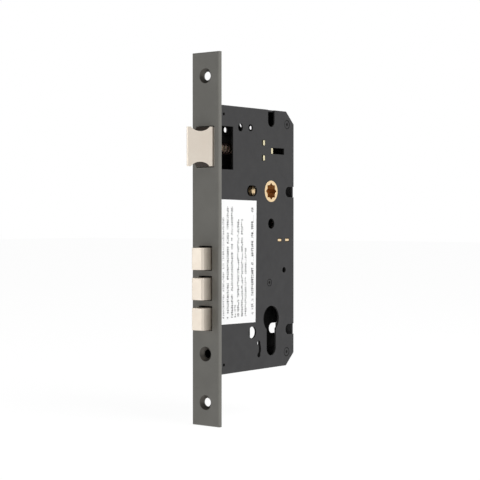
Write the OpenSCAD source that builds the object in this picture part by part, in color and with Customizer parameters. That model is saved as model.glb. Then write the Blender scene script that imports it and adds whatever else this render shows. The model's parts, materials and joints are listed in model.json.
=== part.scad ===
// Mortise lock for a euro profile cylinder, with a beveled spring latch and three
// coupled deadbolt heads, 85 mm from spindle to cylinder and 60 mm backset.
// Frame: X across the door's thickness, Y from the door edge into the door, Z up.
// The origin is on the cylinder's axis, at the middle of the case's thickness.
// Side profiles are drawn in Y and Z and extruded across X.

/* [Faceplate] */
// Width across the door edge
faceplate_w = 22; // [20:0.5:25]
// Height of the plate
faceplate_h = 238; // [234:1:244]
// Thickness of the plate
faceplate_t = 3; // [2.5:0.1:3.2]
// Distance from the cylinder axis down to the plate's lower end
faceplate_drop = 65.5; // [63:0.5:68]
// Distance between the two fixing screws
fixing_spacing = 208; // [204:1:212]
// Diameter of a fixing screw hole
fixing_hole_d = 5.5; // [4.5:0.1:6]
// Diameter of a countersink at the front face
countersink_d = 9.5; // [8:0.1:11]
// Distance from the cylinder axis down to the cylinder's retaining screw
retaining_drop = 19.5; // [18.5:0.1:20.5]
// Width of the bevel along the front edges
faceplate_bevel = 0.6; // [0.2:0.1:1]

/* [Case] */
// Distance from the faceplate's front to the spindle and the cylinder
backset = 60; // [59.5:0.1:60.5]
// Distance from the cylinder axis up to the spindle axis
centres = 85; // [84.8:0.1:85.2]
// Depth of the case behind the faceplate
case_d = 82.5; // [82:0.1:84]
// Height of the case
case_h = 172; // [171:0.5:174]
// Thickness of the case over both side plates
case_t = 15.2; // [15:0.1:16]
// Distance from the cylinder axis down to the case's bottom
case_drop = 32.8; // [32.5:0.1:34]
// Thickness of the case's sheet steel
sheet_t = 1.2; // [1:0.1:1.3]

/* [Latch] */
// Distance from the spindle axis up to the middle of the latch head
latch_rise = 27.4; // [27.2:0.1:27.5]
// Height of the latch head
latch_h = 25; // [24:0.5:25.5]
// Thickness of the latch head
latch_t = 12.4; // [11:0.1:12.4]
// Distance that the latch head stands out of the faceplate
latch_out = 11.7; // [11.5:0.1:12.5]
// Distance that the latch head can be drawn back
latch_travel = 11.5; // [10.5:0.1:11.5]
// Depth of the hollow in the head's top and bottom
scoop_depth = 2.8; // [2:0.1:3.2]

/* [Deadbolt] */
// Distance from the cylinder axis up to the middle of the lowest bolt head
bolt_rise = 3.1; // [3:0.1:3.3]
// Distance between neighbouring bolt heads
bolt_pitch = 19.1; // [18.8:0.1:19.3]
// Height of a bolt head
bolt_h = 14; // [13:0.5:14]
// Thickness of a bolt head
bolt_t = 9.7; // [9:0.1:10]
// Distance that the bolt heads stand out after the first turn of the key
bolt_out = 8.5; // [8:0.1:9]
// Distance from first throw to full throw
bolt_second_throw = 11; // [10:0.1:11]

/* [Spindle follower] */
// Diameter of the hub where it turns in the side plates
hub_d = 14.3; // [14:0.1:14.6]
// Side of each of the two crossed squares of the spindle socket
spindle_side = 8.1; // [8:0.05:8.2]
// Length of the lever that draws the latch back
lever_r = 24.5; // [24.3:0.1:24.7]
// Angle that the follower turns when the handle is pressed
follower_turn = 27.4; // [26:0.1:28]

/* [Cylinder] */
// Radius of the cylinder's round part in the case
cylinder_r = 8.6; // [8.5:0.05:8.8]
// Width of the cylinder's lower part in the case
cylinder_stem_w = 10.2; // [10.1:0.05:10.4]
// Distance from the cylinder axis to the bottom of its opening
cylinder_drop = 24.7; // [24.5:0.1:25]

/* [Hidden] */
$fn = 64;

// Clearances: parts that slide or turn, and parts that are riveted or pushed together
run = 0.1;
snug = 0.02;
cut = 1;

// Case
half_t = case_t / 2;
half_in = half_t - sheet_t;
case_front = faceplate_t - backset;
case_rear = case_front + case_d;
case_low = -case_drop;
case_top = case_low + case_h;
corner_y = 8.8;
corner_z = 8.3;
wall_in = case_rear - sheet_t;
pillar_top_at = [17.8, 130.4];
pillar_bottom_at = [17.4, -23.6];
pillar_r = 3;
pillar_shoulder = 0.4;
guide_post_at = [-2, 24.1];
guide_post_r = 2.5;
block_d = 11.5;
block_h = 8;
block_pin_y = -50.6;
block_pin_top_z = 133.5;
block_pin_low_z = -26.8;
block_pin_r = 1;

// Openings in the side plates, in Y and Z
fixing_high_at = [0, 63.4];
fixing_high_r = 3.45;
fixing_low_at = [-20.7, -8];
fixing_low_r = 3.9;
fixing_side_at = [-21, centres];
fixing_side_l = 10.5;
fixing_side_w = 7.1;
notch_y = 16.2;
notch_w = 7;
notch_low_z = -8.3;
notch_high_z = 84.8;
top_slot_w = 7.2;
top_slot_z = 127.9;
window_rear_y = -41;
window_low_z = 98.2;
window_high_z = 125.9;
arc_slot_at = [-20.1, -19.4];
arc_slot_r = 7.6;
arc_slot_w = 2.2;
arc_slot_end_r = 1.6;
arc_slot_half = 32;
cover_slot_at = [-33.3, 125.85];
cover_slot_l = 5.3;
cover_slot_w = 4.8;
cover_hole_at = [-22.6, 126.2];
cover_hole_r = 2.3;
plate_holes_at = [[-31.1, 124.9], [-14.2, 129.4]];
plate_hole_r = 1.9;
plate_slot_at = [-3, 127.7];
plate_slot_l = 5;
plate_slot_w = 2.4;
lug_gap = 0.2;
latch_gap = [2.2, 1.2];
bolt_gap = [1.2, 1.6];
bolt_gap_rise = 0.25;
rim_tab_gap = 0.1;
rim_tab_recess = 0.5;

// Latch
latch_z = centres + latch_rise;
latch_tip_y = -backset - latch_out;
head_back_y = case_front + 3;
tip_flat = 1.2;
tip_chamfer = 0.7;
cheek = 0.4;
scoop_half = 4.3;
scoop_r = (scoop_half * scoop_half + scoop_depth * scoop_depth) / (2 * scoop_depth);
scoop_y = (latch_tip_y - backset - cheek) / 2;
tail_z = latch_z - 0.4;
tail_w = 3;
tail_h = 3.8;
tail_front_y = head_back_y - 4.5;
tail_rear_y = 2.05;
shoulder_y = -1.9;
shoulder_half_w = 4.2;
shoulder_h = 8.8;
shoulder_z = tail_z - 0.2;
tab_w = 2;
tab_slot_y = 0;
tab_slot_d = tab_w + latch_travel + 1;
latch_pin_y = head_back_y - 1.2;
latch_pin_r = 0.8;
guide_y = -8.8;
guide_t = 1.9;
guide_h = 16;
guide_lug_h = 3.4;
guide_lug_rise = 5;
guide_slot_front = 1.5;
latch_coil_r = 3.3;
latch_coil_turns = 15;
wire_d = 0.8;

// Follower
hub_r = hub_d / 2;
flange_r = 9.8;
flange_half_w = 1.6;
lever_t = 2;
lever_in = flange_half_w + run;
lever_ring_r = 10.4;
lever_root_r = 8.5;
lever_back_w = 5;
lever_tip_r = 1.9;
lever_lean = 10;
rivet_ring_r = 8.7;
rivet_r = 0.8;
nose_root_r = 7;
nose_root_half_w = 2.2;
nose_r = 13.8;
nose_tip_r = 1.9;
nose_rise = follower_turn / 2;
plunger_y = 13.6;
plunger_gap = 0.55;
plunger_top_z = centres + nose_r * sin(nose_rise) - nose_tip_r - plunger_gap;
plunger_button_h = 0.8;
plunger_button_r = 1.3;
plunger_head_h = 1.2;
plunger_head_r = 2.9;
plunger_stem_r = 1.3;
plunger_stem_h = 10;
seat_z = 51.55;
seat_t = 1.6;
seat_slot_h = seat_t + 0.8;
seat_front_y = 7.2;
seat_rear_y = 20.3;
seat_lug_y = [9.5, 18];
seat_lug_w = 3.8;
seat_stub_h = 6.5;
follower_coil_r = 2.5;
follower_coil_turns = 13;

// Deadbolt
bolt_front_y = -backset - bolt_out;
bolt_length = 32;
bolt_rear_y = bolt_front_y + bolt_length;
bolt_slot_d = 8;
bolt_pin_y = bolt_rear_y - 4;
bolt_pin_r = 1.5;
bolt_middle_z = bolt_rise + bolt_pitch;
bolt_top_z = bolt_rise + 2 * bolt_pitch;
plate_w = 3;
riser_y = bolt_rear_y - bolt_slot_d;
riser_d = 10;
carriage_low_z = 10.4;
carriage_high_z = 33;
carriage_step_z = 29.3;
carriage_step_y = 0.6;
carriage_rear_y = 13.9;
cam_notch_w = 7.4;
cam_notch_pitch = 10;
cam_notch_z = 16.4;

// Tumbler, drawn as the key lifts it
tumbler_at = [14.5, 32.1];
tumbler_t = 2;
tumbler_in = plate_w / 2 + 0.3;
tumbler_eye_r = 3.4;
tumbler_window_at = guide_post_at + [-0.3, 0.75];
tumbler_window_r = guide_post_r + 1.5;
tumbler_outline = [
    [14.5, 35.5], [-15.5, 36.3], [-15.5, 31], [-9, 29.5], [-8, 18],
    [-4, 14.6], [4, 14.6], [6.5, 18], [8.5, 28.8], [14.5, 28.7]
];
tumbler_pin_r = 1.4;
tumbler_pin_reach = 4.2;
tumbler_hole_r = 1.9;
tumbler_collar_r = 2.2;
stump_y = -14;
stump_w = 3;
stump_gap = 0.3;
stump_top_z = 36.2;
stump_notch_w = 3.6;
stump_notch_z = 30.2;
leaf_top_z = 50.5;
leaf_half = 0.2;
leaf_path = [[wall_in - leaf_half, 46], [wall_in - leaf_half, 39], [16, 37.6], [3, 36.25]];

// Label
label_low = [-56, -1.1];
label_size = [39, 79.9];
label_t = 0.15;
label_turn = -0.8;

// ---- Helpers ----

// Extrudes a Y and Z outline across the lock, from x0 to x1
module across(x0, x1) {
    translate([x0, 0, 0]) rotate([90, 0, 90]) linear_extrude(x1 - x0) children();
}

// Extrudes an X and Z outline into the door, from y0 to y1
module inward(y0, y1) {
    translate([0, y1, 0]) rotate([90, 0, 0]) linear_extrude(y1 - y0) children();
}

// Extrudes an X and Y outline upward, from z0 to z1
module upward(z0, z1) {
    translate([0, 0, z0]) linear_extrude(z1 - z0) children();
}

// Box given by its lowest and highest corners
module span(low, high) {
    translate(low) cube(high - low);
}

// Round-ended slot of whole length l and width w, along the first axis
module slot(l, w) {
    square([l - w, w], center = true);
    for (end = [-1, 1]) {
        translate([end * (l - w) / 2, 0]) circle(w / 2);
    }
}

// Slot that runs out over an edge: from its round end at y, toward +Y
module rear_notch(z) {
    translate([notch_y + notch_w / 2, z]) {
        circle(notch_w / 2);
        translate([0, -notch_w / 2]) square([case_rear, notch_w]);
    }
}

// Case outline in Y and Z, drawn in by c at the top, bottom and rear
function case_outline(c = 0, front = case_front) =
    let (slant = norm([corner_y, corner_z]))
    let (shift_y = c * (corner_y - slant) / corner_z)
    let (shift_z = c * (slant - corner_z) / corner_y)
    [
        [front, case_low + c],
        [case_rear - corner_y + shift_y, case_low + c],
        [case_rear - c, case_low + corner_z + shift_z],
        [case_rear - c, case_top - corner_z - shift_z],
        [case_rear - corner_y + shift_y, case_top - c],
        [front, case_top - c]
    ];

// Height of a coil's wire after t turns: a closed turn at each end, open turns between
function coil_height(t, turns, length) =
    let (closed = 1.08 * wire_d)
    let (open = (length - wire_d - 2 * closed) / (turns - 2))
    wire_d / 2 + (t < 1 ? closed * t
        : t < turns - 1 ? closed + open * (t - 1)
        : closed * (t - turns + 2) + open * (turns - 2));

// Coil spring standing on the origin along +Z
module coil(r, turns, length) {
    steps = 12;
    sides = 6;
    last = turns * steps;
    points = [
        for (i = [0 : last], k = [0 : sides - 1])
            let (turn = 360 * i / steps, side = 360 * k / sides)
            let (reach = r + wire_d / 2 * cos(side))
            [
                reach * cos(turn),
                reach * sin(turn),
                coil_height(i / steps, turns, length) + wire_d / 2 * sin(side)
            ]
    ];
    skin = [
        for (i = [0 : last - 1], k = [0 : sides - 1])
            let (next = (k + 1) % sides)
            [i * sides + k, i * sides + next, (i + 1) * sides + next, (i + 1) * sides + k]
    ];
    start = [[for (k = [sides - 1 : -1 : 0]) k]];
    end = [[for (k = [0 : sides - 1]) last * sides + k]];
    polyhedron(points, concat(skin, start, end), convexity = 6);
}

// Euro profile opening
module cylinder_profile() {
    stem_r = cylinder_stem_w / 2;
    circle(cylinder_r);
    translate([-stem_r, stem_r - cylinder_drop]) square([cylinder_stem_w, cylinder_drop - stem_r]);
    translate([0, stem_r - cylinder_drop]) circle(stem_r);
}

// Openings that both side plates share
module shared_openings() {
    cylinder_profile();
    translate([0, centres]) circle(hub_r + run / 2);
    translate(fixing_high_at) circle(fixing_high_r);
    translate(fixing_low_at) circle(fixing_low_r);
    translate(fixing_side_at) slot(fixing_side_l, fixing_side_w);
    rear_notch(notch_low_z);
    rear_notch(notch_high_z);
    translate(pillar_top_at) circle(pillar_r + snug);
    translate(pillar_bottom_at) circle(pillar_r + snug);
    translate(guide_post_at) circle(guide_post_r + snug);
    translate([block_pin_y, block_pin_top_z]) circle(block_pin_r);
    translate([block_pin_y, block_pin_low_z]) circle(block_pin_r);
    for (side = [-1, 1]) {
        translate([guide_y - guide_slot_front, tail_z + side * guide_lug_rise - guide_lug_h / 2 - lug_gap])
            square([guide_slot_front + guide_t + lug_gap, guide_lug_h + 2 * lug_gap]);
    }
    for (y = seat_lug_y) {
        translate([y, seat_z + seat_t / 2])
            square([seat_lug_w + 2 * lug_gap, seat_slot_h], center = true);
    }
}

// Countersunk hole through the faceplate at height z
module countersunk_hole(z, head_d) {
    sink = (head_d - fixing_hole_d) / 2;
    translate([0, -backset, z]) rotate([-90, 0, 0]) {
        translate([0, 0, -cut]) cylinder(h = faceplate_t + 2 * cut, d = fixing_hole_d);
        cylinder(h = sink, d1 = head_d, d2 = fixing_hole_d);
        translate([0, 0, -cut]) cylinder(h = cut, d = head_d);
    }
}

// Post riveted into both side plates, with a punch mark in each end
module pillar(at, end_r, body_r) {
    dimple_r = 1.1;
    groove = 0.5;
    translate([0, at[0], at[1]]) rotate([0, 90, 0]) difference() {
        union() {
            translate([0, 0, -half_in]) cylinder(h = 2 * half_in, r = body_r);
            translate([0, 0, groove - half_t]) cylinder(h = case_t - 2 * groove, r = end_r);
            for (end = [0, 1]) {
                mirror([0, 0, end]) translate([0, 0, half_t - groove])
                    cylinder(h = groove, r1 = end_r, r2 = end_r - groove);
            }
        }
        for (end = [0, 1]) {
            mirror([0, 0, end]) translate([0, 0, half_t - dimple_r])
                cylinder(h = dimple_r + snug, r1 = run, r2 = dimple_r);
        }
    }
}

// Steel block that ties the faceplate to the case, with its lower side at z
module front_block(z, pin_z) {
    color([0.24, 0.24, 0.25]) difference() {
        span([-half_in, case_front, z], [half_in, case_front + block_d, z + block_h]);
        across(-half_t, half_t) translate([block_pin_y, pin_z]) circle(block_pin_r);
    }
}

// Bolt head at height z, slotted at the back for the carriage
module bolt_head(z) {
    nose = 1;
    half = bolt_t / 2;
    color([0.78, 0.75, 0.7]) difference() {
        upward(z - bolt_h / 2, z + bolt_h / 2) polygon([
            [-half, bolt_rear_y],
            [-half, bolt_front_y + nose],
            [nose - half, bolt_front_y],
            [half - nose, bolt_front_y],
            [half, bolt_front_y + nose],
            [half, bolt_rear_y]
        ]);
        span(
            [-plate_w / 2 - snug, bolt_rear_y - bolt_slot_d - snug, z - bolt_h],
            [plate_w / 2 + snug, bolt_rear_y + cut, z + bolt_h]
        );
        across(-half_t, half_t) translate([bolt_pin_y, z]) circle(bolt_pin_r + snug);
    }
}

// Lever plate of the follower, leaning toward the faceplate at rest
module follower_lever(x0) {
    color([0.8, 0.68, 0.4]) across(x0, x0 + lever_t) translate([0, centres]) difference() {
        union() {
            circle(lever_ring_r);
            rotate(lever_lean) {
                polygon([
                    [-lever_back_w, lever_root_r],
                    [lever_tip_r, lever_root_r],
                    [lever_tip_r, lever_r],
                    [-lever_tip_r, lever_r]
                ]);
                translate([0, lever_r]) circle(lever_tip_r);
            }
        }
        circle(hub_r + snug);
        rivet_circle(rivet_r + snug);
    }
}

// Three rivets round the hub, drawn in the side view
module rivet_circle(r) {
    for (angle = [30, 150, 270]) {
        rotate(angle) translate([rivet_ring_r, 0]) circle(r);
    }
}

// ---- Case ----

module faceplate() {
    half_w = faceplate_w / 2;
    low = -faceplate_drop;
    high = low + faceplate_h;
    middle = (low + high) / 2;
    bevel = faceplate_bevel;
    color([0.4, 0.39, 0.37]) difference() {
        intersection() {
            upward(low, high) polygon([
                [-half_w, case_front],
                [-half_w, bevel - backset],
                [bevel - half_w, -backset],
                [half_w - bevel, -backset],
                [half_w, bevel - backset],
                [half_w, case_front]
            ]);
            across(-half_w, half_w) polygon([
                [case_front, low],
                [bevel - backset, low],
                [-backset, low + bevel],
                [-backset, high - bevel],
                [bevel - backset, high],
                [case_front, high]
            ]);
        }
        countersunk_hole(middle - fixing_spacing / 2, countersink_d);
        countersunk_hole(middle + fixing_spacing / 2, countersink_d);
        countersunk_hole(-retaining_drop, countersink_d);
        inward(-backset - cut, case_front + cut) {
            translate([0, latch_z]) square([latch_t, latch_h] + latch_gap, center = true);
            for (z = [bolt_rise, bolt_middle_z, bolt_top_z]) {
                translate([0, z + bolt_gap_rise]) square([bolt_t, bolt_h] + bolt_gap, center = true);
            }
        }
    }
}

// Far side plate
module case_plate() {
    color([0.27, 0.27, 0.28]) difference() {
        across(-half_t, -half_in) polygon(case_outline());
        across(-half_t - cut, cut - half_in) {
            shared_openings();
            translate(plate_slot_at) slot(plate_slot_l, plate_slot_w);
            for (at = plate_holes_at) {
                translate(at) circle(plate_hole_r);
            }
            translate(tumbler_at) circle(tumbler_pin_r + snug);
        }
    }
}

// Top, rear and bottom walls, folded from one strip, with tabs that fill the side plates' rear notches
module case_rim() {
    tab_h = notch_w - 2 * rim_tab_gap;
    tab_reach = half_t - rim_tab_recess;
    color([0.26, 0.26, 0.27]) {
        across(-half_in, half_in) difference() {
            polygon(case_outline());
            polygon(case_outline(sheet_t, case_front - cut));
        }
        across(-tab_reach, tab_reach) {
            for (z = [notch_low_z, notch_high_z]) {
                translate([wall_in, z - tab_h / 2]) square([sheet_t, tab_h]);
            }
        }
    }
}

// Side plate that is seen from the front view's side
module case_cover() {
    wedge = 2 * arc_slot_r;
    color([0.28, 0.28, 0.29]) difference() {
        across(half_in, half_t) polygon(case_outline());
        across(half_in - cut, half_t + cut) {
            shared_openings();
            translate([case_front - cut, window_low_z])
                square([window_rear_y - case_front + cut, window_high_z - window_low_z]);
            translate(cover_slot_at) rotate(90) slot(cover_slot_l, cover_slot_w);
            translate(cover_hole_at) circle(cover_hole_r);
            translate([0, top_slot_z + top_slot_w / 2]) {
                circle(top_slot_w / 2);
                translate([-top_slot_w / 2, 0]) square([top_slot_w, case_top]);
            }
            translate([tab_slot_y, tail_z - tail_h / 2 - lug_gap])
                square([tab_slot_d, tail_h + 2 * lug_gap]);
            translate(tumbler_at) circle(tumbler_hole_r);
            translate(arc_slot_at) {
                intersection() {
                    difference() {
                        circle(arc_slot_r + arc_slot_w / 2);
                        circle(arc_slot_r - arc_slot_w / 2);
                    }
                    polygon([
                        [0, 0],
                        [wedge, -wedge * tan(arc_slot_half)],
                        [wedge, wedge * tan(arc_slot_half)]
                    ]);
                }
                for (side = [-1, 1]) {
                    rotate(side * arc_slot_half) translate([arc_slot_r, 0]) circle(arc_slot_end_r);
                }
            }
        }
    }
}

module front_block_top() {
    front_block(case_top - sheet_t - block_h, block_pin_top_z);
}

module front_block_bottom() {
    front_block(case_low + sheet_t, block_pin_low_z);
}

module pillar_top() {
    color([0.33, 0.33, 0.34]) pillar(pillar_top_at, pillar_r, pillar_r + pillar_shoulder);
}

module pillar_bottom() {
    color([0.33, 0.33, 0.34]) pillar(pillar_bottom_at, pillar_r, pillar_r + pillar_shoulder);
}

module bolt_guide_post() {
    color([0.33, 0.33, 0.34]) pillar(guide_post_at, guide_post_r, guide_post_r + run);
}

module label() {
    color([0.95, 0.95, 0.95]) across(half_t, half_t + label_t) translate(label_low + label_size / 2)
        rotate(label_turn) square(label_size, center = true);
}

// ---- Latch ----

module latch_head() {
    half = latch_t / 2;
    color([0.78, 0.74, 0.69]) difference() {
        upward(latch_z - latch_h / 2, latch_z + latch_h / 2) polygon([
            [-half, head_back_y],
            [-half, latch_tip_y + tip_chamfer],
            [tip_chamfer - half, latch_tip_y],
            [tip_chamfer + tip_flat - half, latch_tip_y],
            [half, -backset - cheek],
            [half, head_back_y]
        ]);
        across(-latch_t, latch_t) {
            for (side = [-1, 1]) {
                translate([scoop_y, latch_z + side * (latch_h / 2 + scoop_r - scoop_depth)])
                    circle(scoop_r);
            }
        }
        span(
            [-tail_w / 2 - snug, tail_front_y - snug, tail_z - tail_h / 2 - snug],
            [tail_w / 2 + snug, head_back_y + cut, tail_z + tail_h / 2 + snug]
        );
        across(-latch_t, latch_t) translate([latch_pin_y, tail_z]) circle(latch_pin_r + snug);
    }
}

module latch_tail() {
    low = tail_z - tail_h / 2;
    high = tail_z + tail_h / 2;
    color([0.72, 0.6, 0.38]) difference() {
        union() {
            span([-tail_w / 2, tail_front_y, low], [tail_w / 2, tail_rear_y, high]);
            span(
                [-shoulder_half_w, shoulder_y, shoulder_z - shoulder_h / 2],
                [shoulder_half_w, tail_rear_y, shoulder_z + shoulder_h / 2]
            );
            span([0, tail_rear_y - tab_w, low], [half_t - run, tail_rear_y, high]);
        }
        across(-latch_t, latch_t) translate([latch_pin_y, tail_z]) circle(latch_pin_r + snug);
    }
}

module latch_pin() {
    color([0.7, 0.7, 0.72]) across(-latch_t / 2, latch_t / 2) translate([latch_pin_y, tail_z])
        circle(latch_pin_r);
}

module latch_spring() {
    length = guide_y - head_back_y - 2 * snug;
    color([0.66, 0.66, 0.68]) translate([0, guide_y - snug, tail_z]) rotate([90, 0, 0])
        coil(latch_coil_r, latch_coil_turns, length);
}

module latch_guide() {
    color([0.85, 0.78, 0.55]) difference() {
        union() {
            span(
                [-half_in, guide_y, tail_z - guide_h / 2],
                [half_in, guide_y + guide_t, tail_z + guide_h / 2]
            );
            for (side = [-1, 1]) {
                translate([0, guide_y + guide_t / 2, tail_z + side * guide_lug_rise])
                    cube([case_t - run, guide_t, guide_lug_h], center = true);
            }
        }
        inward(guide_y - cut, guide_y + guide_t + cut) translate([0, tail_z])
            square([tail_w + 2 * run, tail_h + 2 * run], center = true);
    }
}

// ---- Follower ----

module follower_hub() {
    color([0.86, 0.72, 0.42]) difference() {
        union() {
            across(-half_t, half_t) translate([0, centres]) circle(hub_r);
            across(-flange_half_w, flange_half_w) translate([0, centres]) {
                circle(flange_r);
                rotate(nose_rise) {
                    polygon([
                        [nose_root_r, -nose_root_half_w],
                        [nose_r, -nose_tip_r],
                        [nose_r, nose_tip_r],
                        [nose_root_r, nose_root_half_w]
                    ]);
                    translate([nose_r, 0]) circle(nose_tip_r);
                }
            }
        }
        across(-half_t - cut, half_t + cut) translate([0, centres]) {
            square(spindle_side, center = true);
            rotate(45) square(spindle_side, center = true);
            rivet_circle(rivet_r + snug);
        }
    }
}

module follower_lever_near() {
    follower_lever(lever_in);
}

module follower_lever_far() {
    follower_lever(-lever_in - lever_t);
}

module follower_rivets() {
    reach = lever_in + lever_t;
    color([0.7, 0.7, 0.72]) across(-reach, reach) translate([0, centres]) rivet_circle(rivet_r);
}

module spring_plunger() {
    color([0.72, 0.72, 0.74]) translate([0, plunger_y, plunger_top_z]) mirror([0, 0, 1]) {
        cylinder(h = plunger_button_h, r1 = plunger_button_r - 0.4, r2 = plunger_button_r);
        translate([0, 0, plunger_button_h]) {
            cylinder(h = plunger_head_h, r = plunger_head_r);
            cylinder(h = plunger_head_h + plunger_stem_h, r = plunger_stem_r);
        }
    }
}

module follower_spring() {
    low = seat_z + seat_t + snug;
    high = plunger_top_z - plunger_button_h - plunger_head_h - snug;
    color([0.66, 0.66, 0.68]) translate([0, plunger_y, low])
        coil(follower_coil_r, follower_coil_turns, high - low);
}

module spring_seat() {
    color([0.86, 0.72, 0.42]) {
        span([-half_in, seat_front_y, seat_z], [half_in, seat_rear_y, seat_z + seat_t]);
        translate([0, plunger_y, seat_z]) cylinder(h = seat_t + seat_stub_h, r = plunger_stem_r);
        for (y = seat_lug_y) {
            translate([0, y, seat_z + seat_t / 2]) cube([case_t - run, seat_lug_w, seat_t], center = true);
        }
    }
}

// ---- Deadbolt ----

module bolt_head_top() {
    bolt_head(bolt_top_z);
}

module bolt_head_middle() {
    bolt_head(bolt_middle_z);
}

module bolt_head_bottom() {
    bolt_head(bolt_rise);
}

module bolt_carriage() {
    slot_low = guide_post_at[0] - bolt_out - guide_post_r - 2 * run;
    slot_high = guide_post_at[0] + bolt_second_throw + guide_post_r + 2 * run;
    slot_h = 2 * (guide_post_r + 2 * run);
    color([0.74, 0.66, 0.45]) across(-plate_w / 2, plate_w / 2) difference() {
        polygon([
            [riser_y, bolt_rise - bolt_h / 2],
            [riser_y + riser_d, bolt_rise - bolt_h / 2],
            [riser_y + riser_d, carriage_low_z],
            [carriage_rear_y, carriage_low_z],
            [carriage_rear_y, carriage_step_z],
            [carriage_step_y, carriage_step_z],
            [carriage_step_y, carriage_high_z],
            [riser_y + riser_d, carriage_high_z],
            [riser_y + riser_d, bolt_top_z + bolt_h / 2],
            [riser_y, bolt_top_z + bolt_h / 2]
        ]);
        translate([(slot_low + slot_high) / 2, guide_post_at[1]]) slot(slot_high - slot_low, slot_h);
        for (throw = [-bolt_out, 0, bolt_second_throw]) {
            translate([stump_y + throw - stump_notch_w / 2, stump_notch_z])
                square([stump_notch_w, carriage_high_z]);
        }
        for (step = [-1, 1]) {
            translate([(step * cam_notch_pitch - cam_notch_w) / 2, cam_notch_z - carriage_low_z])
                square([cam_notch_w, carriage_low_z]);
        }
        for (z = [bolt_rise, bolt_middle_z, bolt_top_z]) {
            translate([bolt_pin_y, z]) circle(bolt_pin_r + snug);
        }
    }
}

module bolt_pins() {
    color([0.7, 0.7, 0.72]) across(-bolt_t / 2, bolt_t / 2) {
        for (z = [bolt_rise, bolt_middle_z, bolt_top_z]) {
            translate([bolt_pin_y, z]) circle(bolt_pin_r);
        }
    }
}

// ---- Tumbler ----

module tumbler() {
    stump_z = carriage_high_z + stump_gap;
    color([0.8, 0.68, 0.4]) {
        across(tumbler_in, tumbler_in + tumbler_t) difference() {
            union() {
                polygon(tumbler_outline);
                translate(tumbler_at) circle(tumbler_eye_r);
            }
            translate(tumbler_at) circle(tumbler_pin_r + run / 2);
            translate(tumbler_window_at) circle(tumbler_window_r);
        }
        span(
            [-plate_w / 2, stump_y - stump_w / 2, stump_z],
            [tumbler_in + tumbler_t, stump_y + stump_w / 2, stump_top_z]
        );
    }
}

module tumbler_pivot() {
    color([0.7, 0.7, 0.72]) translate([0, tumbler_at[0], tumbler_at[1]]) rotate([0, 90, 0]) {
        translate([0, 0, -half_t]) cylinder(h = half_t + tumbler_pin_reach, r = tumbler_pin_r);
        translate([0, 0, -half_in]) cylinder(h = half_in + tumbler_in - run, r = tumbler_collar_r);
    }
}

// Point on the leaf spring's curve, from the rear wall down to the tumbler
function leaf_point(t) =
    let (u = 1 - t)
    u * u * u * leaf_path[0] + 3 * u * u * t * leaf_path[1]
    + 3 * u * t * t * leaf_path[2] + t * t * t * leaf_path[3];

// Point beside the curve, at the distance reach to its left
function leaf_side(t, reach) =
    let (along = leaf_point(t + 0.001) - leaf_point(t - 0.001))
    leaf_point(t) + reach * [-along[1], along[0]] / norm(along);

module tumbler_spring() {
    steps = 16;
    color([0.66, 0.66, 0.68]) across(tumbler_in + run, tumbler_in + tumbler_t - run) {
        polygon(concat(
            [[wall_in, leaf_top_z]],
            [for (i = [0 : steps]) leaf_side(i / steps, leaf_half)],
            [for (i = [steps : -1 : 0]) leaf_side(i / steps, -leaf_half)],
            [[wall_in - 2 * leaf_half, leaf_top_z]]
        ));
    }
}

faceplate();
case_plate();
case_rim();
case_cover();
front_block_top();
front_block_bottom();
pillar_top();
pillar_bottom();
bolt_guide_post();
latch_head();
latch_tail();
latch_pin();
latch_spring();
latch_guide();
follower_hub();
follower_lever_near();
follower_lever_far();
follower_rivets();
spring_plunger();
follower_spring();
spring_seat();
bolt_head_top();
bolt_head_middle();
bolt_head_bottom();
bolt_carriage();
bolt_pins();
tumbler();
tumbler_pivot();
tumbler_spring();
label();
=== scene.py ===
"""Looks of the mortise lock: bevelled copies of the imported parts, wound springs, a printed
label and procedural finishes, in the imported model's frame and in metres."""

import json
import math

import bmesh
import bpy
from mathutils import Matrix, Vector


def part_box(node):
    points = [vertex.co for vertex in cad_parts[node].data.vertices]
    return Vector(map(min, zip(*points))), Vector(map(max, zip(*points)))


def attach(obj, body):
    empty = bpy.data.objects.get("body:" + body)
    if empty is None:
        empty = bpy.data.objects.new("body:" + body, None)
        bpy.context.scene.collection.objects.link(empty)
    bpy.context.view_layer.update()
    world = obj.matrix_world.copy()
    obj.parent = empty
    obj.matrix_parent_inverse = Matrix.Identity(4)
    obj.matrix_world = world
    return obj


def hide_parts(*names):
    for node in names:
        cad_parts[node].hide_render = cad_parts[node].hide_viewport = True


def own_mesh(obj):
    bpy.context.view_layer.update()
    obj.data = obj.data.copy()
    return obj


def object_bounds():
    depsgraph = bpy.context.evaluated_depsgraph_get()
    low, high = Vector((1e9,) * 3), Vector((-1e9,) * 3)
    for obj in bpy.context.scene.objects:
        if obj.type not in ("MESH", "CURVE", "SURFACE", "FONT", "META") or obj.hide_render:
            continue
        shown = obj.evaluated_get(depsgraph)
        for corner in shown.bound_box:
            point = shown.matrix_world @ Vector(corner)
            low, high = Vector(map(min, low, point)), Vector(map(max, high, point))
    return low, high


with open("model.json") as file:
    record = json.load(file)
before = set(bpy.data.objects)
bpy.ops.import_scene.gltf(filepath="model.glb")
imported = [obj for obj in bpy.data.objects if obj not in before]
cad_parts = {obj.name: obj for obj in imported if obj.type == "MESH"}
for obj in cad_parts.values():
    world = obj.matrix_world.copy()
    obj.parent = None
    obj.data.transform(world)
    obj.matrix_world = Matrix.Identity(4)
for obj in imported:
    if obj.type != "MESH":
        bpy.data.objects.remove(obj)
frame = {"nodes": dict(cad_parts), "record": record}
cad_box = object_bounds()
nodes = frame["nodes"]
record = frame["record"]
body_of = {n: body for body, names in record["behaviour"]["bodies"].items() for n in names}
slot_of = {part["node"]: part["material_slot"] for part in record["subparts"]}
scene = bpy.context.scene
MM = 0.001


# ---- Material helpers ----

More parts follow.
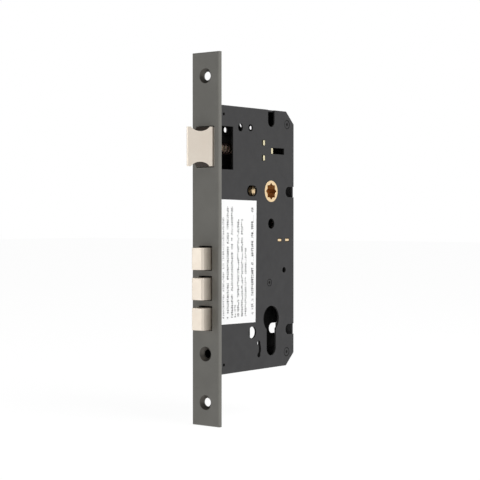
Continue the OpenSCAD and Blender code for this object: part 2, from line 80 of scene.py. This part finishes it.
class Finish:
    """A node material with a Principled shader and a few shortcuts for building its inputs."""

    def __init__(self, name, color, metallic, roughness, **sockets):
        self.mat = bpy.data.materials.new(name)
        self.mat.use_nodes = True
        self.tree = self.mat.node_tree
        self.shader = self.tree.nodes["Principled BSDF"]
        self.shader.inputs["Base Color"].default_value = (*color, 1)
        self.shader.inputs["Metallic"].default_value = metallic
        self.shader.inputs["Roughness"].default_value = roughness
        for socket, value in sockets.items():
            self.shader.inputs[socket.replace("_", " ")].default_value = value
        self.mat.diffuse_color = (*color, 1)
        self.place = self.add("ShaderNodeTexCoord").outputs["Object"]

    def add(self, kind, **settings):
        node = self.tree.nodes.new(kind)
        for key, value in settings.items():
            setattr(node, key, value)
        return node

    def link(self, source, target):
        self.tree.links.new(source, target)

    def feed(self, socket, value):
        if isinstance(value, (int, float, tuple)):
            socket.default_value = value
        else:
            self.link(value, socket)

    def stretched(self, scale):
        """The object's coordinates in metres times scale, which may differ by axis."""
        node = self.add("ShaderNodeMapping")
        node.inputs["Scale"].default_value = scale
        self.link(self.place, node.inputs["Vector"])
        return node.outputs["Vector"]

    def noise(self, scale, detail=3.0, roughness=0.55):
        node = self.add("ShaderNodeTexNoise")
        self.link(self.stretched(scale), node.inputs["Vector"])
        node.inputs["Scale"].default_value = 1.0
        node.inputs["Detail"].default_value = detail
        node.inputs["Roughness"].default_value = roughness
        return node.outputs["Fac"]

    def remap(self, value, low, high, to_low, to_high):
        node = self.add("ShaderNodeMapRange")
        node.clamp = True
        self.link(value, node.inputs["Value"])
        node.inputs["From Min"].default_value = low
        node.inputs["From Max"].default_value = high
        node.inputs["To Min"].default_value = to_low
        node.inputs["To Max"].default_value = to_high
        return node.outputs["Result"]

    def math(self, operation, a, b=0.0):
        node = self.add("ShaderNodeMath", operation=operation)
        self.feed(node.inputs[0], a)
        self.feed(node.inputs[1], b)
        return node.outputs["Value"]

    def mix(self, factor, a, b):
        node = self.add("ShaderNodeMix", data_type="RGBA")
        self.feed(node.inputs["Factor"], factor)
        for socket, value in ((node.inputs[6], a), (node.inputs[7], b)):
            self.feed(socket, (*value, 1) if isinstance(value, tuple) else value)
        return node.outputs[2]

    def split(self):
        """The object's coordinates in metres, as three separate values."""
        node = self.add("ShaderNodeSeparateXYZ")
        self.link(self.place, node.inputs["Vector"])
        return node.outputs["X"], node.outputs["Y"], node.outputs["Z"]

    def cells(self, a, b, seed):
        """A random value for each cell of the grid whose cell numbers are a and b."""
        join = self.add("ShaderNodeCombineXYZ")
        self.feed(join.inputs["X"], self.math("FLOOR", a))
        self.feed(join.inputs["Y"], self.math("FLOOR", b))
        join.inputs["Z"].default_value = seed
        node = self.add("ShaderNodeTexWhiteNoise", noise_dimensions="3D")
        self.link(join.outputs["Vector"], node.inputs["Vector"])
        return node.outputs["Value"]

    def within(self, value, low, high):
        """1 where value lies between low and high, 0 elsewhere."""
        node = self.add("ShaderNodeMath", operation="COMPARE")
        self.feed(node.inputs[0], value)
        node.inputs[1].default_value = (low + high) / 2
        node.inputs[2].default_value = (high - low) / 2
        return node.outputs["Value"]

    def bump(self, height, distance, strength=1.0):
        node = self.add("ShaderNodeBump")
        node.inputs["Strength"].default_value = strength
        node.inputs["Distance"].default_value = distance
        self.link(height, node.inputs["Height"])
        if self.shader.inputs["Normal"].is_linked:
            self.link(self.shader.inputs["Normal"].links[0].from_socket, node.inputs["Normal"])
        self.link(node.outputs["Normal"], self.shader.inputs["Normal"])

    def paint(self, color):
        self.link(color, self.shader.inputs["Base Color"])

    def rough(self, value):
        self.link(value, self.shader.inputs["Roughness"])


# ---- Finishes ----

def coated(name, color, dull, roughness, grain, metallic=0.0):
    """Thin satin coating on metal: fine orange peel, faint clouding, slightly rubbed."""
    f = Finish(name, color, metallic, roughness, Specular_IOR_Level=0.5)
    cloud = f.noise((60, 60, 60), detail=4.0)
    f.paint(f.mix(f.remap(cloud, 0.3, 0.7, 0.0, 1.0), color, dull))
    fine = f.noise((grain, grain, grain), detail=2.0)
    rubbed = f.noise((140, 140, 140), detail=5.0)
    f.rough(f.remap(rubbed, 0.25, 0.75, roughness - 0.06, roughness + 0.08))
    f.bump(fine, 0.00002, 0.6)
    return f


def plated(name, color, tint, roughness, brush):
    """Brushed and plated metal: lines along one axis, a soft change of tint."""
    f = Finish(name, color, 1.0, roughness)
    cloud = f.noise((90, 90, 90), detail=4.0)
    lines = f.noise(brush, detail=4.0, roughness=0.6)
    brushed = f.remap(lines, 0.3, 0.7, 0.7, 1.0)
    shade = f.math("MULTIPLY", brushed, f.remap(cloud, 0.3, 0.7, 0.6, 1.0))
    f.paint(f.mix(shade, tint, color))
    f.rough(f.remap(lines, 0.25, 0.75, roughness - 0.08, roughness + 0.1))
    f.bump(lines, 0.00002, 0.35)
    return f


finishes = {
    "faceplate_coating": coated(
        "faceplate_coating", (0.15, 0.146, 0.13), (0.133, 0.129, 0.115), 0.55, 2600),
    "case_coating": coated(
        "case_coating", (0.0215, 0.021, 0.022), (0.018, 0.0176, 0.0186), 0.55, 2200),
    "satin_nickel": plated(
        "satin_nickel", (0.8, 0.73, 0.64), (0.72, 0.63, 0.53), 0.42, (300, 300, 3500)),
    "hub_brass": plated("hub_brass", (1.0, 0.8, 0.52), (0.95, 0.66, 0.34), 0.38, (900, 900, 900)),
    "passivated_steel": plated(
        "passivated_steel", (0.95, 0.88, 0.62), (0.85, 0.76, 0.5), 0.4, (400, 400, 400)),
    "plain_steel": plated("plain_steel", (0.6, 0.6, 0.6), (0.5, 0.5, 0.51), 0.35, (900, 900, 900)),
    "spring_wire": plated("spring_wire", (0.16, 0.11, 0.1), (0.1, 0.07, 0.065), 0.45, (700, 700, 700)),
}
# Painted shade: near-black for the walls of the plates' openings, their inner faces and the sunk rims
# of rivets
near_black_shade = coated("painted_shade_black", (0.006, 0.0055, 0.005), (0.004, 0.004, 0.004), 0.75, 1500)
# Worn bare metal for the countersink cones, darkened with painted shade
worn_and_shaded = coated("worn_shaded_countersink", (0.1, 0.092, 0.08), (0.05, 0.046, 0.04), 0.35, 1500, metallic=0.7)
# Painted shade: dark brown for the hollows in the top and bottom of the latch head
hollow_shade = coated("painted_shade_hollow", (0.035, 0.022, 0.013), (0.018, 0.011, 0.006), 0.6, 1500)
# Painted shade: dark orange-brown brass for the walls of the spindle's socket
socket_shade = plated("painted_shade_brass", (0.62, 0.36, 0.14), (0.42, 0.21, 0.07), 0.45, (300, 900, 900))
# Painted shade: brown steel for the follower levers, which sit in the shade inside the case
lever_shade = plated("painted_shade_steel", (0.34, 0.25, 0.14), (0.22, 0.15, 0.08), 0.5, (400, 400, 400))

# Rows of print on the label, in millimetres: middle in Y, lowest and highest Z, height, darkness
PRINT_ROWS = [
    (-51.4, 2.7, 67.7, 1.8, 0.6), (-46.8, 2.4, 74.4, 2.0, 0.85), (-42.4, 3.0, 74.4, 2.0, 0.85),
    (-39.2, 3.0, 12.4, 1.6, 0.7), (-36.0, 3.5, 66.6, 2.0, 0.85), (-31.9, 3.2, 66.6, 2.0, 0.85),
    (-28.2, 3.2, 47.6, 1.8, 0.8), (-21.0, 3.8, 74.1, 2.4, 0.95),
]
LETTER = 1.45 * MM
WORD = 5 * LETTER
PAPER_WHITE = (0.86, 0.86, 0.86)
INK = (0.03, 0.03, 0.032)


def paper():
    """White paper with rows of small blocks, which stand for print and can't be read."""
    f = Finish("label_paper", PAPER_WHITE, 0.0, 0.6)
    _, y, z = f.split()
    ink = None
    for middle, low, high, height, dark in PRINT_ROWS:
        across = f.within(y, (middle - height / 2) * MM, (middle + height / 2) * MM)
        row = f.math("MULTIPLY", across, f.within(z, low * MM, high * MM))
        row = f.math("MULTIPLY", row, dark)
        ink = row if ink is None else f.math("ADD", ink, row)
    along = f.math("DIVIDE", z, LETTER)
    down = f.math("DIVIDE", y, 0.5 * MM)
    strokes = f.math("GREATER_THAN", f.cells(f.math("MULTIPLY", along, 3.0), down, 1.0), 0.3)
    letters = f.math("LESS_THAN", f.math("FRACT", along), 0.78)
    rows = f.math("DIVIDE", y, 4 * MM)
    words = f.math("GREATER_THAN", f.cells(f.math("DIVIDE", z, WORD / 4), rows, 2.0), 0.12)
    for mask in (strokes, letters, words):
        ink = f.math("MULTIPLY", ink, mask)
    f.paint(f.mix(ink, PAPER_WHITE, INK))
    f.bump(f.noise((1800, 1800, 1800), detail=3.0), 0.00001, 0.4)
    return f


finishes["label_paper"] = paper()


# ---- Pieces ----

FACEPLATE_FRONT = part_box("faceplate")[0][1]
FLUSH = 0.05 * MM    # faces nearer than this to a plane or an outline count as flush with it
BEVEL_SEGMENTS = 2
BEVEL_ANGLE = math.radians(25)


def finish_of(node):
    return finishes[slot_of[node]].mat


def paint_walls(mesh):
    """Gives the near-black painted shade to the walls of a plate's openings and to its inner face."""
    points = [v.co.copy() for v in mesh.vertices]
    inner = min(points, key=lambda p: abs(p.x)).x
    for face in mesh.polygons:
        if abs(face.normal.x) > 0.5:
            face.material_index = int(abs(face.center.x - inner) < FLUSH)
            continue
        reach = max(face.normal.dot(p) for p in points)
        face.material_index = int(reach - face.normal.dot(face.center) > FLUSH)


def paint_hollows(mesh):
    """Gives the dark brown painted shade to the hollows in the top and bottom of the latch head."""
    low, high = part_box("latch_head")
    middle = (low[2] + high[2]) / 2
    half = (high[2] - low[2]) / 2
    for face in mesh.polygons:
        depth = half - abs(face.center.z - middle)
        front = face.center.y < FACEPLATE_FRONT
        turned_up = abs(face.normal.x) < 0.3 and abs(face.normal.z) > 0.2
        if front and turned_up and depth > FLUSH:
            face.material_index = 1


def paint_countersinks(mesh):
    """Gives the worn finish, darkened with painted shade, to the cones where screws sit."""
    low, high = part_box("faceplate")
    for face in mesh.polygons:
        cone = 0.3 < abs(face.normal.y) < 0.95 and abs(face.center.x) < 0.5 * high[0]
        face.material_index = int(cone and low[2] + MM < face.center.z < high[2] - MM)


def paint_socket(mesh):
    """Gives the dark orange-brown painted shade to the walls of the spindle's socket."""
    low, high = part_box("follower_hub")
    middle = [(a + b) / 2 for a, b in zip(low, high)]
    for face in mesh.polygons:
        off = (face.center.y - middle[1], face.center.z - middle[2])
        inward = off[0] * face.normal.y + off[1] * face.normal.z < 0
        face.material_index = int(abs(face.normal.x) < 0.3 and inward)


def paint_all(mesh):
    """Gives the second finish to the whole piece."""
    for face in mesh.polygons:
        face.material_index = 1


def paint_rivet_rim_shade(mesh):
    """Gives the near-black painted shade to the sunk rim and the punch mark at a riveted post's ends.
    """
    for face in mesh.polygons:
        face.material_index = int(0.3 < abs(face.normal.x) < 0.95)


def rounded(node, width, extra=None, paint=None):
    """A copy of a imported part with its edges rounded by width, which replaces it.

    A second finish, extra, goes on the faces that paint picks."""
    mesh = nodes[node].data.copy()
    mesh.name = node + "_rounded"
    shape = bmesh.new()
    shape.from_mesh(mesh)
    bmesh.ops.remove_doubles(shape, verts=shape.verts, dist=2e-6)
    bmesh.ops.dissolve_limit(
        shape, angle_limit=math.radians(0.5), verts=shape.verts, edges=shape.edges,
        use_dissolve_boundaries=False)
    shape.normal_update()
    shape.to_mesh(mesh)
    shape.free()
    if "custom_normal" in mesh.attributes:
        mesh.attributes.remove(mesh.attributes["custom_normal"])
    piece = bpy.data.objects.new(node + "_rounded", mesh)
    scene.collection.objects.link(piece)
    mesh.materials.clear()
    mesh.materials.append(finish_of(node))
    if extra:
        mesh.materials.append(extra.mat)
        paint(mesh)
    mesh.shade_smooth()
    bevel = piece.modifiers.new("Bevel", "BEVEL")
    bevel.width = width
    bevel.segments = BEVEL_SEGMENTS
    bevel.limit_method = "ANGLE"
    bevel.angle_limit = BEVEL_ANGLE
    bevel.harden_normals = True
    bevel.use_clamp_overlap = True
    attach(piece, body_of[node])
    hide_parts(node)


for name in nodes:
    nodes[name].data.materials.clear()
    nodes[name].data.materials.append(finish_of(name))

# Width of the rounding on the pieces with one finish, in millimetres
EDGES = {
    "case_rim": 0.2, "latch_tail": 0.25, "latch_guide": 0.2, "spring_seat": 0.2,
    "bolt_head_top": 0.35, "bolt_head_middle": 0.35, "bolt_head_bottom": 0.35,
    "bolt_carriage": 0.2, "tumbler": 0.2,
}
for name, width in EDGES.items():
    rounded(name, width * MM)
for name in ("case_plate", "case_cover"):
    # The walls of the openings and the plates' inner faces get near-black painted shade
    rounded(name, 0.25 * MM, extra=near_black_shade, paint=paint_walls)
# The countersink cones get worn metal darkened with painted shade
rounded("faceplate", 0.2 * MM, extra=worn_and_shaded, paint=paint_countersinks)
# The sunk rims and punch marks of the riveted posts get near-black painted shade
for name in ("pillar_top", "pillar_bottom", "bolt_guide_post"):
    rounded(name, 0.06 * MM, extra=near_black_shade, paint=paint_rivet_rim_shade)
# The hollows of the latch head get dark brown painted shade
rounded("latch_head", 0.4 * MM, extra=hollow_shade, paint=paint_hollows)
# The walls of the spindle's socket get dark orange-brown painted shade
rounded("follower_hub", 0.3 * MM, extra=socket_shade, paint=paint_socket)
# The follower levers get brown painted shade all over
for name in ("follower_lever_near", "follower_lever_far"):
    rounded(name, 0.2 * MM, extra=lever_shade, paint=paint_all)


SPRING_WIRE = 0.8 * MM
COIL_STEPS = 28
WIRE_SIDES = 10
Y = 1
Z = 2


def wound_spring(node, axis, fixed_end, turns):
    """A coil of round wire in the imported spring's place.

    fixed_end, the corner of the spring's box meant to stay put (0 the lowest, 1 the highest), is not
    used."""
    wire = SPRING_WIRE
    low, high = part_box(node)
    length = high[axis] - low[axis]
    others = [i for i in range(3) if i != axis]
    middle = [(a + b) / 2 for a, b in zip(low, high)]
    reach = (high[others[0]] - low[others[0]] - wire) / 2
    closed = 1.08 * wire
    pitch = (length - wire - 2 * closed) / (turns - 2)
    shape = bmesh.new()
    last_ring = None
    for i in range(turns * COIL_STEPS + 1):
        t = i / COIL_STEPS
        if t < 1:
            rise = closed * t
        elif t < turns - 1:
            rise = closed + pitch * (t - 1)
        else:
            rise = closed * (t - turns + 2) + pitch * (turns - 2)
        ring = []
        for k in range(WIRE_SIDES):
            side = 2 * math.pi * k / WIRE_SIDES
            out = reach + wire / 2 * math.cos(side)
            place = [0.0, 0.0, 0.0]
            place[axis] = low[axis] + wire / 2 + rise + wire / 2 * math.sin(side)
            place[others[0]] = middle[others[0]] + out * math.cos(2 * math.pi * t)
            place[others[1]] = middle[others[1]] + out * math.sin(2 * math.pi * t)
            ring.append(shape.verts.new(place))
        if last_ring is None:
            shape.faces.new(ring)
        else:
            for k in range(WIRE_SIDES):
                n = (k + 1) % WIRE_SIDES
                shape.faces.new((last_ring[k], last_ring[n], ring[n], ring[k]))
        last_ring = ring
    shape.faces.new(last_ring)
    bmesh.ops.recalc_face_normals(shape, faces=shape.faces)
    mesh = bpy.data.meshes.new(node + "_wound")
    shape.to_mesh(mesh)
    shape.free()
    mesh.materials.append(finish_of(node))
    mesh.shade_smooth()
    piece = bpy.data.objects.new(node + "_wound", mesh)
    scene.collection.objects.link(piece)
    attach(piece, body_of[node])
    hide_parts(node)
    end = list(middle)
    end[axis] = (low, high)[fixed_end][axis]
    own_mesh(piece)


wound_spring("latch_spring", Y, 1, turns=15)
wound_spring("follower_spring", Z, 0, turns=13)


# ---- Floor, light and camera ----

FLOOR_REACH = 6.0
FLOOR_GLOW = 0.93
WORLD_LOW = 0.25
WORLD_HIGH = 0.75


def stage_floor():
    """A white floor that mostly glows, so that it stays even and shows only a faint shadow."""
    low = cad_box[0][2]
    reach = FLOOR_REACH
    mesh = bpy.data.meshes.new("floor")
    mesh.from_pydata(
        [(-reach, -reach, low), (reach, -reach, low), (reach, reach, low), (-reach, reach, low)],
        [], [(0, 1, 2, 3)])
    floor = bpy.data.objects.new("floor", mesh)
    scene.collection.objects.link(floor)
    look = Finish("floor_paper", (0.12, 0.12, 0.12), 0.0, 1.0, Specular_IOR_Level=0.0)
    look.shader.inputs["Emission Color"].default_value = (1, 1, 1, 1)
    look.shader.inputs["Emission Strength"].default_value = FLOOR_GLOW
    mesh.materials.append(look.mat)


def area_light(name, place, target, size, power):
    data = bpy.data.lights.new(name, "AREA")
    data.shape = "RECTANGLE"
    data.size, data.size_y = size
    data.energy = power
    light = bpy.data.objects.new(name, data)
    light.location = place
    light.rotation_euler = (Vector(target) - Vector(place)).to_track_quat("-Z", "Y").to_euler()
    scene.collection.objects.link(light)


def studio_world():
    """Soft light from all round, stronger from +X +Y, and white where it is seen directly."""
    world = bpy.data.worlds.new("studio")
    world.use_nodes = True
    tree = world.node_tree
    background = tree.nodes["Background"]
    place = tree.nodes.new("ShaderNodeTexCoord")
    dot = tree.nodes.new("ShaderNodeVectorMath")
    dot.operation = "DOT_PRODUCT"
    tree.links.new(place.outputs["Generated"], dot.inputs[0])
    dot.inputs[1].default_value = (0.6, 0.8, 0)
    dim = tree.nodes.new("ShaderNodeMapRange")
    tree.links.new(dot.outputs["Value"], dim.inputs["Value"])
    dim.inputs["From Min"].default_value = -0.2
    dim.inputs["From Max"].default_value = 0.9
    dim.inputs["To Min"].default_value = WORLD_LOW
    dim.inputs["To Max"].default_value = WORLD_HIGH
    seen = tree.nodes.new("ShaderNodeLightPath")
    mix = tree.nodes.new("ShaderNodeMix")
    tree.links.new(seen.outputs["Is Camera Ray"], mix.inputs["Factor"])
    tree.links.new(dim.outputs["Result"], mix.inputs[2])
    mix.inputs[3].default_value = 1.0
    tree.links.new(mix.outputs[0], background.inputs["Strength"])
    background.inputs["Color"].default_value = (1, 1, 1, 1)
    scene.world = world


stage_floor()
studio_world()
scene.view_settings.view_transform = "Standard"

centre = (0, -0.015, 0.05)
area_light("key", (1.0, -0.05, 0.95), centre, (0.8, 0.8), 10.0)
area_light("front", (-0.75, -1.0, 0.1), centre, (0.45, 0.9), 2.5)
area_light("side", (1.1, -0.75, 0.05), centre, (0.3, 0.9), 0.6)

camera_data = bpy.data.cameras.new("camera")
camera_data.lens = 100.7
camera_data.sensor_width = 36.0
camera_data.clip_start = 0.01
camera = bpy.data.objects.new("camera", camera_data)
camera.location = (0.54381, -0.71923, 0.0668)
camera.rotation_euler = (math.radians(90 - 0.915), 0, math.radians(38.04))
scene.collection.objects.link(camera)
scene.camera = camera
